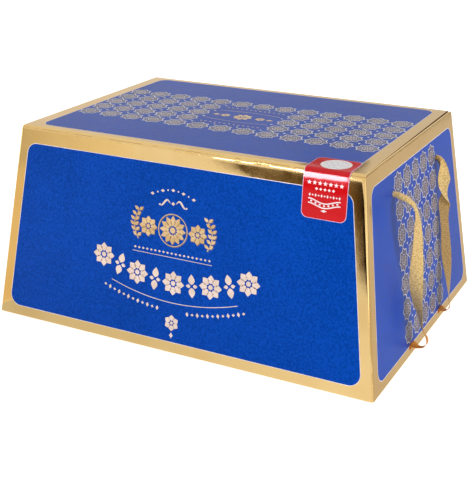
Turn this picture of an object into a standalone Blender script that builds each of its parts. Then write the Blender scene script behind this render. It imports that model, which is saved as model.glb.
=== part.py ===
"""Shut gift carton for a festive bread: tapered box, two ribbon handles, seal label.

Metres, +Z up. The origin is the middle of the carton's base, X runs along its
length, and the front panel faces -Y. The ribbons hang on the end panel at +X.
"""
import math

import bmesh
import bpy
import numpy as np
from mathutils import Matrix, Vector

# Carton, over the sharp corners before its folds are rounded
LENGTH = 0.360
WIDTH = 0.264
HEIGHT = 0.172
END_INSET = 0.0236
SIDE_INSET = 0.021
SIDE_FOLD = 0.0045
END_FOLD = 0.0014
BASE_FOLD = 0.0010
UPRIGHT_FOLD = 0.0022
SMALLEST_CORNER = 0.0002
FOLD_STEPS = 6
CORNER_STEPS = 5

# Open seam between the top panel and the end panel, which widens to the back
SEAM_START_Y = -0.100
SEAM_START_GAP = 0.0003
SEAM_BACK_GAP = 0.0022
SEAM_DEPTH = 0.0045
SEAM_WALL = 0.0010

# Places on the end panel where the ribbons pass through, measured up its slope
EYELET_Y = 0.0554
EYELET_RISE = 0.1440
EYELET_RADIUS = 0.0031
SLOT_Y = 0.0400
SLOT_RISE = 0.0096
SLOT_LENGTH = 0.0130
SLOT_HEIGHT = 0.0026
POCKET_DEPTH = 0.0090

# Ribbon
RIBBON_WIDTH = 0.0110
RIBBON_THICKNESS = 0.0004
RIBBON_SPANS = 14
RIBBON_STEP = 0.0030
RIBBON_FOLD_RADIUS = 0.0011
RIBBON_SHARP_ANGLE = math.radians(50)
SPLINE_PARTS = 20

# Label, folded over the front top edge near the right end
LABEL_LEFT = 0.1085
LABEL_RIGHT = 0.1450
LABEL_BACK_Y = -0.0825
LABEL_FRONT_DROP = 0.0338
LABEL_THICKNESS = 0.0003
LABEL_GAP = 0.0003
LABEL_CORNER = 0.0050
LABEL_CORNER_STEPS = 6

# Route of each ribbon from its eyelet to its slot: x, y, z in millimetres; the turn of
# its width about the route, 0 along +Y, and the curl across its width, in degrees; and
# where a lengthwise fold crosses it, 1.5 before the fold and -1.5 once it is folded over
FRONT_RIBBON_ROUTE = [
    (153.4, -55.4, 141.7, 180, 300, 1.5),
    (160.4, -55.4, 142.7, 180, 290, 1.5),
    (165.0, -55.4, 142.4, 180, 240, 1.5),
    (170.0, -55.3, 141.2, 180, 150, 1.5),
    (175.0, -55.0, 138.8, 173, 90, 1.5),
    (178.6, -54.6, 134.8, 168, 60, 1.5),
    (180.6, -54.0, 127.6, 176, 45, 1.5),
    (181.6, -53.0, 115.0, 196, 30, 1.5),
    (181.8, -51.0, 98.0, 210, 25, 1.5),
    (181.3, -48.6, 78.0, 240, 20, 1.5),
    (181.7, -46.6, 60.5, 270, 20, 1.5),
    (183.0, -44.6, 47.6, 300, 20, 1.5),
    (184.9, -42.8, 36.6, 320, 15, 1.5),
    (186.7, -41.4, 27.0, 331, 10, 1.5),
    (189.6, -40.6, 20.6, 338, 5, 1.5),
    (191.8, -40.2, 15.8, 348, 0, 1.5),
    (191.0, -40.0, 11.0, 362, 0, 1.5),
    (187.6, -40.0, 8.2, 374, 0, 1.5),
    (184.2, -40.0, 7.6, 373, 0, 1.5),
    (181.4, -40.0, 8.6, 364, 0, 1.5),
    (178.2, -40.0, 9.4, 360, 0, 1.5),
    (171.8, -40.0, 8.6, 360, 0, 1.5),
]
BACK_RIBBON_ROUTE = [
    (153.4, 55.4, 141.7, 0, 300, 1.5),
    (160.4, 55.4, 142.5, 0, 290, 1.5),
    (163.6, 55.4, 141.0, 4, 220, 1.5),
    (166.2, 55.4, 136.8, 16, 130, 1.5),
    (168.2, 55.2, 130.0, 42, 60, 1.5),
    (169.6, 54.8, 123.0, 58, 30, 1.1),
    (170.8, 54.2, 116.0, 60, 20, 0.4),
    (171.6, 53.6, 109.0, 56, 20, -0.25),
    (172.2, 53.2, 102.0, 46, 20, -0.9),
    (172.8, 52.8, 95.0, 30, 20, -1.5),
    (173.6, 52.4, 88.0, 22, 20, -1.5),
    (175.0, 51.8, 80.0, 22, 20, -1.5),
    (176.9, 50.6, 68.0, 30, 20, -1.5),
    (179.2, 48.8, 55.0, 31, 20, -1.5),
    (182.0, 46.8, 42.0, 12, 15, -1.5),
    (184.4, 44.6, 28.5, -6, 10, -1.5),
    (186.0, 42.4, 19.5, -20, 5, -1.5),
    (187.2, 40.8, 13.6, -16, 0, -1.5),
    (186.4, 40.2, 9.4, 4, 0, -1.5),
    (184.0, 40.0, 7.6, 14, 0, -1.5),
    (181.4, 40.0, 8.5, 4, 0, -1.5),
    (178.2, 40.0, 9.4, 0, 0, -1.5),
    (171.8, 40.0, 8.6, 0, 0, -1.5),
]

GOLD = (0.62, 0.42, 0.17, 1.0)
RIBBON_GOLD = (0.66, 0.50, 0.20, 1.0)
LABEL_RED = (0.72, 0.01, 0.02, 1.0)


def clear_scene():
    for old in list(bpy.data.objects):
        bpy.data.objects.remove(old, do_unlink=True)


def make_material(name, color, roughness, metallic):
    material = bpy.data.materials.new(name)
    material.use_nodes = True
    shader = material.node_tree.nodes["Principled BSDF"]
    shader.inputs["Base Color"].default_value = color
    shader.inputs["Roughness"].default_value = roughness
    shader.inputs["Metallic"].default_value = metallic
    return material


def make_object(name, bm, material=None):
    bmesh.ops.recalc_face_normals(bm, faces=bm.faces)
    mesh = bpy.data.meshes.new(name)
    bm.to_mesh(mesh)
    bm.free()
    made = bpy.data.objects.new(name, mesh)
    bpy.context.scene.collection.objects.link(made)
    if material:
        mesh.materials.append(material)
    return made


def make_cutter(name, bm):
    cutter = make_object(name, bm)
    cutter.hide_render = True
    cutter.display_type = "WIRE"
    return cutter


def cut(target, cutter):
    boolean = target.modifiers.new(cutter.name, "BOOLEAN")
    boolean.operation = "DIFFERENCE"
    boolean.solver = "EXACT"
    boolean.object = cutter


def loft(bm, rings):
    """Join equal rings of points one after another and cap both ends."""
    made = [[bm.verts.new(point) for point in ring] for ring in rings]
    count = len(made[0])
    for lower, upper in zip(made, made[1:]):
        for i in range(count):
            j = (i + 1) % count
            bm.faces.new((lower[i], lower[j], upper[j], upper[i]))
    bm.faces.new(list(reversed(made[0])))
    bm.faces.new(made[-1])


def half_length(z):
    return LENGTH / 2 - END_INSET * z / HEIGHT


def half_width(z):
    return WIDTH / 2 - SIDE_INSET * z / HEIGHT


def rounded_rectangle(half_x, half_y, radius, z):
    points = []
    corners = ((1, 1, 0), (-1, 1, 90), (-1, -1, 180), (1, -1, 270))
    for side_x, side_y, start in corners:
        centre_x = side_x * (half_x - radius)
        centre_y = side_y * (half_y - radius)
        for step in range(CORNER_STEPS + 1):
            angle = math.radians(start + 90 * step / CORNER_STEPS)
            x = centre_x + radius * math.cos(angle)
            y = centre_y + radius * math.sin(angle)
            points.append((x, y, z))
    return points


def base_ring(elevation, lean):
    """One ring of the rounded fold along the foot."""
    edge_z = BASE_FOLD * (1 + math.sin(lean))
    inward = BASE_FOLD * (math.cos(lean) - math.cos(elevation))
    z = edge_z + BASE_FOLD * (math.sin(elevation) - math.sin(lean))
    corner = max(UPRIGHT_FOLD - inward, SMALLEST_CORNER)
    return rounded_rectangle(half_length(edge_z) - inward, half_width(edge_z) - inward, corner, z)


def folded_half(half_at, inset, radius, z):
    """Half size of the carton at a height, where the fold along its top is rounded."""
    lean = math.atan(inset / HEIGHT)
    edge_z = HEIGHT - radius * (1 - math.sin(lean))
    if z <= edge_z:
        return half_at(z)
    sine = 1 - (HEIGHT - z) / radius
    return half_at(edge_z) - radius * (math.cos(lean) - math.sqrt(1 - sine ** 2))


def top_ring(z):
    """One ring of the folds along the top, which are wide at the sides and tight at the ends."""
    half_x = folded_half(half_length, END_INSET, END_FOLD, z)
    half_y = folded_half(half_width, SIDE_INSET, SIDE_FOLD, z)
    corner = max(UPRIGHT_FOLD + half_x - half_length(z), SMALLEST_CORNER)
    return rounded_rectangle(half_x, half_y, corner, z)


def make_carton(material):
    down, up = -math.pi / 2, math.pi / 2
    rings = []
    lean = math.atan(END_INSET / HEIGHT)
    for step in range(FOLD_STEPS + 1):
        rings.append(base_ring(down + (lean - down) * step / FOLD_STEPS, lean))
    lean = math.atan(SIDE_INSET / HEIGHT)
    for step in range(FOLD_STEPS + 1):
        elevation = lean + (up - lean) * step / FOLD_STEPS
        rings.append(top_ring(HEIGHT - SIDE_FOLD * (1 - math.sin(elevation))))
    bm = bmesh.new()
    loft(bm, rings)
    return make_object("carton", bm, material)


def seam_cutter():
    """Wedge along the top of the +X end, its outer face parallel to the end panel."""
    slope = END_INSET / HEIGHT
    low = HEIGHT - SEAM_DEPTH
    high = HEIGHT + END_FOLD
    back_y = WIDTH / 2
    seam_end_y = half_width(HEIGHT)
    growth = (back_y - SEAM_START_Y) / (seam_end_y - SEAM_START_Y)
    outer_low = half_length(low) - SEAM_WALL
    outer_high = outer_low - slope * (high - low)
    rings = []
    for y, gap in ((SEAM_START_Y, SEAM_START_GAP), (back_y, SEAM_BACK_GAP * growth)):
        outer_face = [(outer_low, y, low), (outer_high, y, high)]
        inner_face = [(outer_high - gap, y, high), (outer_low - gap, y, low)]
        rings.append(outer_face + inner_face)
    bm = bmesh.new()
    loft(bm, rings)
    return make_cutter("seam_cutter", bm)


def end_panel_place(y, rise):
    """Matrix whose origin lies on the end panel and whose Z is the panel's normal."""
    lean = math.atan(END_INSET / HEIGHT)
    z = rise * math.cos(lean)
    place = Matrix.Translation((half_length(z), y, z))
    return place @ Matrix.Rotation(math.radians(90) - lean, 4, "Y")


def eyelet_cutter(name, y):
    bm = bmesh.new()
    bmesh.ops.create_cone(
        bm, cap_ends=True, segments=20, radius1=EYELET_RADIUS, radius2=EYELET_RADIUS,
        depth=2 * POCKET_DEPTH, matrix=end_panel_place(y, EYELET_RISE))
    return make_cutter(name, bm)


def slot_cutter(name, y):
    size = Matrix.Diagonal((SLOT_HEIGHT, SLOT_LENGTH, 2 * POCKET_DEPTH, 1.0))
    bm = bmesh.new()
    bmesh.ops.create_cube(bm, size=1.0, matrix=end_panel_place(y, SLOT_RISE) @ size)
    return make_cutter(name, bm)


def spline(points, step):
    """Catmull-Rom curve through rows of x, y, z and angles, read at equal steps of length."""
    points = np.array(points)
    ends = np.vstack([2 * points[0] - points[1], points, 2 * points[-1] - points[-2]])
    fine = []
    for a, b, c, d in zip(ends, ends[1:], ends[2:], ends[3:]):
        squared = 2 * a - 5 * b + 4 * c - d
        cubed = 3 * b - 3 * c + d - a
        for t in np.arange(SPLINE_PARTS) / SPLINE_PARTS:
            fine.append(b + ((c - a) * t + squared * t ** 2 + cubed * t ** 3) / 2)
    fine = np.array(fine + [points[-1]])
    travelled = np.append(0.0, np.cumsum(np.linalg.norm(np.diff(fine[:, :3], axis=0), axis=1)))
    stops = np.linspace(0.0, travelled[-1], round(travelled[-1] / step) + 1)
    return np.column_stack([np.interp(stops, travelled, column) for column in fine.T])


def ribbon_section(centre, tangent, turn, curl, fold):
    """Thin closed outline across the ribbon: its outer face, then its inner face."""
    level = Vector((0.0, 1.0, 0.0))
    level = (level - level.dot(tangent) * tangent).normalized()
    across = math.cos(turn) * level + math.sin(turn) * tangent.cross(level)
    face = across.cross(tangent)
    places = np.linspace(-RIBBON_WIDTH / 2, RIBBON_WIDTH / 2, RIBBON_SPANS + 1)
    crease = (places - fold * RIBBON_WIDTH / 2) / (math.pi * RIBBON_FOLD_RADIUS)
    bend = curl * places / RIBBON_WIDTH - math.pi * np.clip(crease + 0.5, 0.0, 1.0)
    middle_bend = (bend[1:] + bend[:-1]) / 2
    span = RIBBON_WIDTH / RIBBON_SPANS
    flat = np.append(0.0, np.cumsum(np.cos(middle_bend) * span))
    deep = np.append(0.0, np.cumsum(-np.sin(middle_bend) * span))
    flat -= flat.mean()
    deep -= deep.mean()
    outline = []
    for side in (1, -1):
        for u, v, angle in list(zip(flat, deep, bend))[::side]:
            u += side * math.sin(angle) * RIBBON_THICKNESS / 2
            v += side * math.cos(angle) * RIBBON_THICKNESS / 2
            outline.append(centre + across * u + face * v)
    return outline


def make_ribbon(name, route, material):
    scale = (0.001, 0.001, 0.001, math.radians(1), math.radians(1), 1)
    stations = spline(np.array(route) * scale, RIBBON_STEP)
    tangents = np.gradient(stations[:, :3], axis=0)
    rings = []
    for (x, y, z, turn, curl, fold), tangent in zip(stations, tangents):
        rings.append(ribbon_section(Vector((x, y, z)), Vector(tangent).normalized(), turn, curl, fold))
    bm = bmesh.new()
    loft(bm, rings)
    ribbon = make_object(name, bm, material)
    ribbon.data.shade_smooth()
    ribbon.data.set_sharp_from_angle(angle=RIBBON_SHARP_ANGLE)
    return ribbon


def label_profile(offset):
    """Points down the label: from its back edge on the top, over the fold, to its foot."""
    lean = math.atan(SIDE_INSET / HEIGHT)
    radius = SIDE_FOLD
    fold_z = HEIGHT - radius
    edge_z = HEIGHT - radius * (1 - math.sin(lean))
    fold_y = -half_width(edge_z) + radius * math.cos(lean)
    normal = Vector((0, -math.cos(lean), math.sin(lean)))
    down = Vector((0, -math.sin(lean), -math.cos(lean)))
    corner = [LABEL_CORNER * (1 - math.cos(math.radians(90 * s / LABEL_CORNER_STEPS)))
              for s in range(LABEL_CORNER_STEPS + 1)]
    profile = []
    for inset in corner:
        profile.append((inset, Vector((0, LABEL_BACK_Y - inset, HEIGHT + offset))))
    for step in range(FOLD_STEPS + 1):
        elevation = math.radians(90) + (lean - math.radians(90)) * step / FOLD_STEPS
        y = fold_y - (radius + offset) * math.cos(elevation)
        z = fold_z + (radius + offset) * math.sin(elevation)
        profile.append((LABEL_CORNER, Vector((0, y, z))))
    start = Vector((0, -half_width(edge_z), edge_z)) + normal * offset
    for inset in reversed(corner):
        profile.append((inset, start + down * (LABEL_FRONT_DROP - inset)))
    return profile


def make_label(material):
    inner = label_profile(LABEL_GAP)
    outer = label_profile(LABEL_GAP + LABEL_THICKNESS)
    rings = []
    for (inset, low), (_, high) in zip(inner, outer):
        narrow = LABEL_CORNER - math.sqrt(max(LABEL_CORNER ** 2 - (LABEL_CORNER - inset) ** 2, 0.0))
        left = LABEL_LEFT + narrow
        right = LABEL_RIGHT - narrow
        inner_face = [(left, low.y, low.z), (right, low.y, low.z)]
        outer_face = [(right, high.y, high.z), (left, high.y, high.z)]
        rings.append(inner_face + outer_face)
    bm = bmesh.new()
    loft(bm, rings)
    return make_object("label", bm, material)


def main():
    clear_scene()
    gold = make_material("gold_board", GOLD, 0.35, 0.9)
    ribbon_gold = make_material("ribbon_gold", RIBBON_GOLD, 0.45, 0.6)
    label_red = make_material("label_red", LABEL_RED, 0.3, 0.0)
    carton = make_carton(gold)
    cut(carton, seam_cutter())
    for side, y_sign in (("front", -1), ("back", 1)):
        cut(carton, eyelet_cutter("eyelet_cutter_" + side, y_sign * EYELET_Y))
        cut(carton, slot_cutter("slot_cutter_" + side, y_sign * SLOT_Y))
    make_ribbon("ribbon_front", FRONT_RIBBON_ROUTE, ribbon_gold)
    make_ribbon("ribbon_back", BACK_RIBBON_ROUTE, ribbon_gold)
    make_label(label_red)


main()
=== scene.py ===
"""Looks of a shut gift carton: gold foil board, blue printed fields, ribbons and a label.

Metres, +Z up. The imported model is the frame, so every piece is placed in its coordinates:
the origin is the middle of the carton's base, and the front panel faces -Y.
"""
import random
from math import atan, cos, hypot, pi, radians, sin, sqrt, tan

import bmesh
import bpy
import numpy as np
from mathutils import Matrix, Vector


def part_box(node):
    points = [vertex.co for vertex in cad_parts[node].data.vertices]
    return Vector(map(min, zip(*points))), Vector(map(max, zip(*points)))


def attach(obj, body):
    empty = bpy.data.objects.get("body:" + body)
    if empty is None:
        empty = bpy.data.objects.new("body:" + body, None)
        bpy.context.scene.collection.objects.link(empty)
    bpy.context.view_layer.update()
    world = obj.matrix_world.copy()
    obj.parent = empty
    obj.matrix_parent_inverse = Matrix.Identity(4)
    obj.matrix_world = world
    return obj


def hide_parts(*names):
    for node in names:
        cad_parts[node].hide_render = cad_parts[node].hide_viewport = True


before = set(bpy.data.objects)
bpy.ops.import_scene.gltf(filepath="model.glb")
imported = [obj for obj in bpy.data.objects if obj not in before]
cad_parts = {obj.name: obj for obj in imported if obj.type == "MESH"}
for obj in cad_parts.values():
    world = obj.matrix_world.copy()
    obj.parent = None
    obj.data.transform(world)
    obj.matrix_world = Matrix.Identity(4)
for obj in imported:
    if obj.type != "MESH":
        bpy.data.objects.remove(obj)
scene = bpy.context.scene
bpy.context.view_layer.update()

MM = 0.001

# Carton, over the sharp corners before its folds are rounded
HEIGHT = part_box("carton")[1].z
LENGTH = 0.360
WIDTH = 0.264
END_INSET = 0.0236
SIDE_INSET = 0.021
SIDE_FOLD = 0.0045
END_FOLD = 0.0014
BASE_FOLD = 0.0010
UPRIGHT_FOLD = 0.0022
SMALLEST_CORNER = 0.0002
FOLD_STEPS = 12
CORNER_STEPS = 8
EDGE_STEP = 0.0015
PANEL_RINGS = 24
FOLD_GUARD = 0.0012
CRINKLE_DEPTH = 0.00003
CRINKLE_RANGE = (-1.0, 0.4)
CRINKLE_LOW = 0.0036
CRINKLE_HIGH = 0.0022
CRINKLE_STRIP = (-0.106, -0.109)
CRINKLE_ENDS = (0.125, 0.100)
# Darker line along the top folds: how far below the top it starts, where it is darkest, and where it ends
DARK_LINE_LOW = 0.0019
DARK_LINE_MIDDLE = 0.0015
DARK_LINE_HIGH = 0.0011

# Open seam between the top panel and the end panel, which widens to the back
SEAM_START_Y = -0.100
SEAM_START_GAP = 0.0003
SEAM_BACK_GAP = 0.0022
SEAM_DEPTH = 0.0045
SEAM_WALL = 0.0010

# Places on the end panel where the ribbons pass through, measured up its slope
EYELET_Y = 0.0554
EYELET_RISE = 0.1440
EYELET_RADIUS = 0.0031
SLOT_Y = 0.0400
SLOT_RISE = 0.0096
SLOT_LENGTH = 0.0130
SLOT_HEIGHT = 0.0026
POCKET_DEPTH = 0.0090

# Blue fields: gold left at the sides, the foot and the head of each panel
FIELD_RADIUS = 0.0095
FIELD_CORNER_STEPS = 10
FIELD_LIFT = 0.00003
PRINT_LIFT = 0.00007
PRINT_THICKNESS = 0.00003
RIM_WIDTH = 0.0005
FRONT_BORDERS = (0.0102, 0.0098, 0.0144)
END_BORDERS = (0.0112, 0.0092, 0.01285)
TOP_BORDERS = (0.0130, 0.0102)

# Star pattern on the top and on the ends: parts of a tile, then the grids of tiles
STAR_REACH = 0.49
STAR_WAIST = 0.385
STAR_LINE = 0.036
CORNER_LOZENGE = 0.055
STAR_TILE = 0.0216
TOP_PITCH = (0.0221, 0.0212)
TOP_GRID = (13, 5)
TOP_BARE = 1
END_PITCH = (0.0216, 0.0212)
END_GRID = (5, 7)
END_MIDDLE_RISE = 0.0848

# Flower in a star, in parts of its reach; a leaf has its start, end and width
STAR_RING = 0.42
STAR_RING_LINE = 0.6
STAR_HEART = 0.08
OUTER_LEAF = (0.50, 0.74, 0.10)
INNER_LEAF = (0.12, 0.36, 0.14)

# Rosettes, leaves and the hanging rows on the front and back
ROSETTE_FULLNESS = 0.78
ROSETTE_HEART = 0.28
ROSETTE_DISC = 0.72
PETAL_POINT = 0.8
LEAF_LEAN = 0.9
GARLAND_RADIUS = 190 * MM
GARLAND_LOW = 61 * MM
GARLAND_STEP = 17.5 * MM
UNDERLINE_LOW = 44 * MM
BEADS_LOW = 36.5 * MM

# Ribbon
RIBBON_WIDTH = 0.0110
RIBBON_THICKNESS = 0.0004
RIBBON_SPANS = 32
RIBBON_STEP = 0.0010
RIBBON_FOLD_RADIUS = 0.0011
THREAD_PITCH = 0.00055
SPLINE_PARTS = 20
# Where along each ribbon the painted shade of its foot curl starts and where it is full
RIBBON_FOOT_SHADE = (0.132, 0.156)

# Route of each ribbon from its eyelet to its slot: x, y, z in millimetres; the turn of
# its width about the route, 0 along +Y, and the curl across its width, in degrees; and
# where a lengthwise fold crosses it, 1.5 before the fold and -1.5 once it is folded over
FRONT_RIBBON_ROUTE = [
    (153.4, -55.4, 141.7, 180, 300, 1.5),
    (160.4, -55.4, 142.7, 180, 290, 1.5),
    (165.0, -55.4, 142.4, 180, 240, 1.5),
    (170.0, -55.3, 141.2, 180, 150, 1.5),
    (175.0, -55.0, 138.8, 173, 90, 1.5),
    (178.6, -54.6, 134.8, 168, 60, 1.5),
    (180.6, -54.0, 127.6, 176, 45, 1.5),
    (181.6, -53.0, 115.0, 196, 30, 1.5),
    (181.8, -51.0, 98.0, 210, 25, 1.5),
    (181.3, -48.6, 78.0, 240, 20, 1.5),
    (181.7, -46.6, 60.5, 270, 20, 1.5),
    (183.0, -44.6, 47.6, 300, 20, 1.5),
    (184.9, -42.8, 36.6, 320, 15, 1.5),
    (186.7, -41.4, 27.0, 331, 10, 1.5),
    (189.6, -40.6, 20.6, 338, 5, 1.5),
    (191.8, -40.2, 15.8, 348, 0, 1.5),
    (191.0, -40.0, 11.0, 362, 0, 1.5),
    (187.6, -40.0, 8.2, 374, 0, 1.5),
    (184.2, -40.0, 7.6, 373, 0, 1.5),
    (181.4, -40.0, 8.6, 364, 0, 1.5),
    (178.2, -40.0, 9.4, 360, 0, 1.5),
    (171.8, -40.0, 8.6, 360, 0, 1.5),
]
BACK_RIBBON_ROUTE = [
    (153.4, 55.4, 141.7, 0, 300, 1.5),
    (160.4, 55.4, 142.5, 0, 290, 1.5),
    (163.6, 55.4, 141.0, 4, 220, 1.5),
    (166.2, 55.4, 136.8, 16, 130, 1.5),
    (168.2, 55.2, 130.0, 42, 60, 1.5),
    (169.6, 54.8, 123.0, 58, 30, 1.1),
    (170.8, 54.2, 116.0, 60, 20, 0.4),
    (171.6, 53.6, 109.0, 56, 20, -0.25),
    (172.2, 53.2, 102.0, 46, 20, -0.9),
    (172.8, 52.8, 95.0, 30, 20, -1.5),
    (173.6, 52.4, 88.0, 22, 20, -1.5),
    (175.0, 51.8, 80.0, 22, 20, -1.5),
    (176.9, 50.6, 68.0, 30, 20, -1.5),
    (179.2, 48.8, 55.0, 31, 20, -1.5),
    (182.0, 46.8, 42.0, 12, 15, -1.5),
    (184.4, 44.6, 28.5, -6, 10, -1.5),
    (186.0, 42.4, 19.5, -20, 5, -1.5),
    (187.2, 40.8, 13.6, -16, 0, -1.5),
    (186.4, 40.2, 9.4, 4, 0, -1.5),
    (184.0, 40.0, 7.6, 14, 0, -1.5),
    (181.4, 40.0, 8.5, 4, 0, -1.5),
    (178.2, 40.0, 9.4, 0, 0, -1.5),
    (171.8, 40.0, 8.6, 0, 0, -1.5),
]

# Label, folded over the front top edge near the right end
LABEL_LEFT = 0.1085
LABEL_RIGHT = 0.1450
LABEL_BACK_Y = -0.0825
LABEL_FRONT_DROP = 0.0338
LABEL_FOLD_DROP = 0.0040
LABEL_THICKNESS = 0.0003
LABEL_GAP = 0.0003
LABEL_CORNER = 0.0050
LABEL_CORNER_STEPS = 12
LABEL_COLUMNS = 24
LABEL_ROWS = 24
LABEL_BULGE = 0.00067
LABEL_BULGE_PEAK = 0.0085
LABEL_BULGE_END = 0.0260
LABEL_RIM = 0.00035
SEAL_CENTRE = (0.1282, -0.0966)
SEAL_RADIUS = 0.0116
SEAL_RIM = 0.0008
SEAL_INNER_RADIUS = 0.80 * SEAL_RADIUS
SEAL_INNER_RIM = 0.0003
SEAL_THICKNESS = 0.00005
SEAL_STEPS = 64

# Camera, as the photograph sees the carton
VIEW_YAW = radians(27.4055)
VIEW_PITCH = radians(21.2404)
VIEW_ROLL = radians(0.0702)
VIEW_DISTANCE = 0.95677
VIEW_RIGHT = -0.00655
VIEW_UP = 0.05162
FOCAL_PIXELS = 1013.4868
PHOTO_HEIGHT = 481
SENSOR = 36.0
VIEW_REACH = 50

# Studio, and how far from the carton each card is that its foil reflects
STUDIO_RADIUS = 9.0
FLOOR_GLOW = 0.5
WORLD_GLOW = 0.86
CARD_STEPS = 12
CARD_LIFT = 0.0003
FRONT_CARD_Y = -0.1315
END_CARD_X = 0.1795
WALL_DISTANCE = 1.3
BACK_WALL_DISTANCE = 1.2
END_WALL_DISTANCE = 1.0
WINDOW_DISTANCE = 0.05
WEDGE_DISTANCE = 0.18
EDGE_DISTANCE = 0.17
SHADE_DISTANCE = 0.25

random.seed(7)


def add_camera():
    forward = Vector((-sin(VIEW_YAW) * cos(VIEW_PITCH),
                      cos(VIEW_YAW) * cos(VIEW_PITCH),
                      -sin(VIEW_PITCH)))
    level = Vector((cos(VIEW_YAW), sin(VIEW_YAW), 0))
    upright = level.cross(forward)
    right = cos(VIEW_ROLL) * level + sin(VIEW_ROLL) * upright
    up = cos(VIEW_ROLL) * upright - sin(VIEW_ROLL) * level
    data = bpy.data.cameras.new("camera")
    data.sensor_width = SENSOR
    data.lens = FOCAL_PIXELS * SENSOR / PHOTO_HEIGHT
    data.clip_end = VIEW_REACH
    camera = bpy.data.objects.new("camera", data)
    centre = right * VIEW_RIGHT + up * VIEW_UP - forward * VIEW_DISTANCE
    turn = Matrix((right, up, -forward)).transposed().to_4x4()
    camera.matrix_world = Matrix.Translation(centre) @ turn
    scene.collection.objects.link(camera)
    scene.camera = camera


# Materials

class Nodes:
    """A material's node tree, with short calls for the nodes that the materials here share."""

    def __init__(self, name, color, roughness, metallic=0.0):
        self.material = bpy.data.materials.new(name)
        self.material.use_nodes = True
        self.tree = self.material.node_tree
        self.shader = self.tree.nodes["Principled BSDF"]
        self.shade({"Base Color": (*color, 1), "Roughness": roughness, "Metallic": metallic})
        self.place = self.add("TexCoord").outputs["Object"]
        self.height = None

    def set(self, node, values):
        """Sets or links a node's inputs, each given by its name or number."""
        for key, value in values.items():
            if isinstance(value, bpy.types.NodeSocket):
                self.tree.links.new(value, node.inputs[key])
            else:
                node.inputs[key].default_value = value

    def shade(self, values):
        self.set(self.shader, values)

    def color(self, factor, dark, light):
        self.shade({"Base Color": self.mix(factor, dark, light)})

    def add(self, kind, values=None):
        node = self.tree.nodes.new("ShaderNode" + kind)
        self.set(node, values or {})
        return node

    def uv(self, layer):
        node = self.add("UVMap")
        node.uv_map = layer
        return node.outputs["UV"]

    def axes(self, place=None):
        return self.add("SeparateXYZ", {0: place or self.place}).outputs

    def stretch(self, factors, place=None):
        return self.add("Mapping", {"Scale": factors, "Vector": place or self.place}).outputs["Vector"]

    def noise(self, size, detail=2.0, place=None, distortion=0.0):
        """Noise whose features are about size metres across."""
        values = {"Scale": 1 / size, "Detail": detail, "Distortion": distortion}
        return self.add("TexNoise", {"Vector": place or self.place, **values}).outputs["Fac"]

    def math(self, operation, first, second=0.0):
        node = self.add("Math", {0: first, 1: second})
        node.operation = operation
        return node.outputs[0]

    def times(self, product, *factors):
        for factor in factors:
            product = self.math("MULTIPLY", product, factor)
        return product

    def span(self, value, low, high, new_low=0.0, new_high=1.0):
        """Takes low to high smoothly to new_low to new_high."""
        limits = {"From Min": low, "From Max": high, "To Min": new_low, "To Max": new_high}
        node = self.add("MapRange", {"Value": value, **limits})
        node.interpolation_type = "SMOOTHSTEP"
        return node.outputs["Result"]

    def mix(self, factor, first, second):
        """A colour between two, each given as numbers or as a socket."""
        first, second = [(*end, 1) if isinstance(end, tuple) else end for end in (first, second)]
        node = self.add("Mix")
        node.data_type = "RGBA"
        self.set(node, {"Factor": factor, 6: first, 7: second})
        return node.outputs[2]

    def bump(self, value, depth):
        """Relief of the given depth in metres, over any relief that is already there."""
        node = self.add("Bump", {"Height": value, "Distance": depth})
        if self.height:
            self.set(node, {"Normal": self.height})
        self.height = node.outputs["Normal"]
        self.shade({"Normal": self.height})


def foil_material():
    """Gold foil on board: slow waves, fine grain, a darker line broken by noise a little below the top all
    round, and crinkles along the front top fold.
    """
    made = Nodes("gold_foil", (0.87, 0.595, 0.235), 0.09, 1.0)
    plain = made.mix(made.span(made.noise(0.045), 0.3, 0.7), (0.85, 0.565, 0.215), (0.90, 0.625, 0.255))
    made.bump(made.noise(0.030), 0.00012)
    made.bump(made.noise(0.0016, 3.0), 0.000010)
    x, y, z = made.axes()
    # A darker line a little below the top, all round the carton, broken by noise
    low = made.span(z, HEIGHT - DARK_LINE_LOW, HEIGHT - DARK_LINE_MIDDLE)
    high = made.span(z, HEIGHT - DARK_LINE_HIGH, HEIGHT - DARK_LINE_MIDDLE)
    crease = made.times(low, high, made.span(made.noise(0.008), 0.38, 0.55))
    made.color(crease, plain, (0.60, 0.35, 0.14))
    made.shade({"Roughness": made.span(made.noise(0.012), 0.3, 0.7, 0.07, 0.12)})
    near_fold = made.span(z, HEIGHT - CRINKLE_LOW, HEIGHT - CRINKLE_HIGH)
    front_fold = made.span(y, *CRINKLE_STRIP)
    inside = made.span(made.math("ABSOLUTE", x), *CRINKLE_ENDS)
    patches = made.span(made.noise(0.016, 1.0), 0.48, 0.60)
    crinkle = made.noise(0.0030, 3.0, made.stretch((1.0, 1.0, 2.6)), 0.6)
    made.bump(made.times(crinkle, made.times(near_fold, front_fold, patches, inside)), 0.0006)
    return made.material


def blue_material():
    """Satin blue ink over the foil, with the fine mottle of the board under it."""
    made = Nodes("blue_print", (0.001, 0.038, 0.28), 0.34)
    fine = made.noise(0.0016, 3.0)
    mottle = made.math("ADD", made.times(fine, 0.8), made.times(made.noise(0.06), 0.2))
    made.color(made.span(mottle, 0.38, 0.62), (0.0003, 0.030, 0.228), (0.0015, 0.046, 0.335))
    made.shade({"Roughness": made.span(fine, 0.3, 0.7, 0.30, 0.40),
                "Specular IOR Level": 0.3, "Specular Tint": (0.0, 0.32, 1.0, 1)})
    made.bump(made.noise(0.03), 0.0003)
    made.bump(fine, 0.00004)
    return made.material


def ink_material(name, dark, light, roughness, metallic):
    """Bright line work left open in the blue, so that the foil shows through it."""
    made = Nodes(name, light, roughness, metallic)
    made.color(made.span(made.noise(0.010), 0.35, 0.65), dark, light)
    made.bump(made.noise(0.0008, 2.0), 0.00002)
    return made.material


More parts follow.
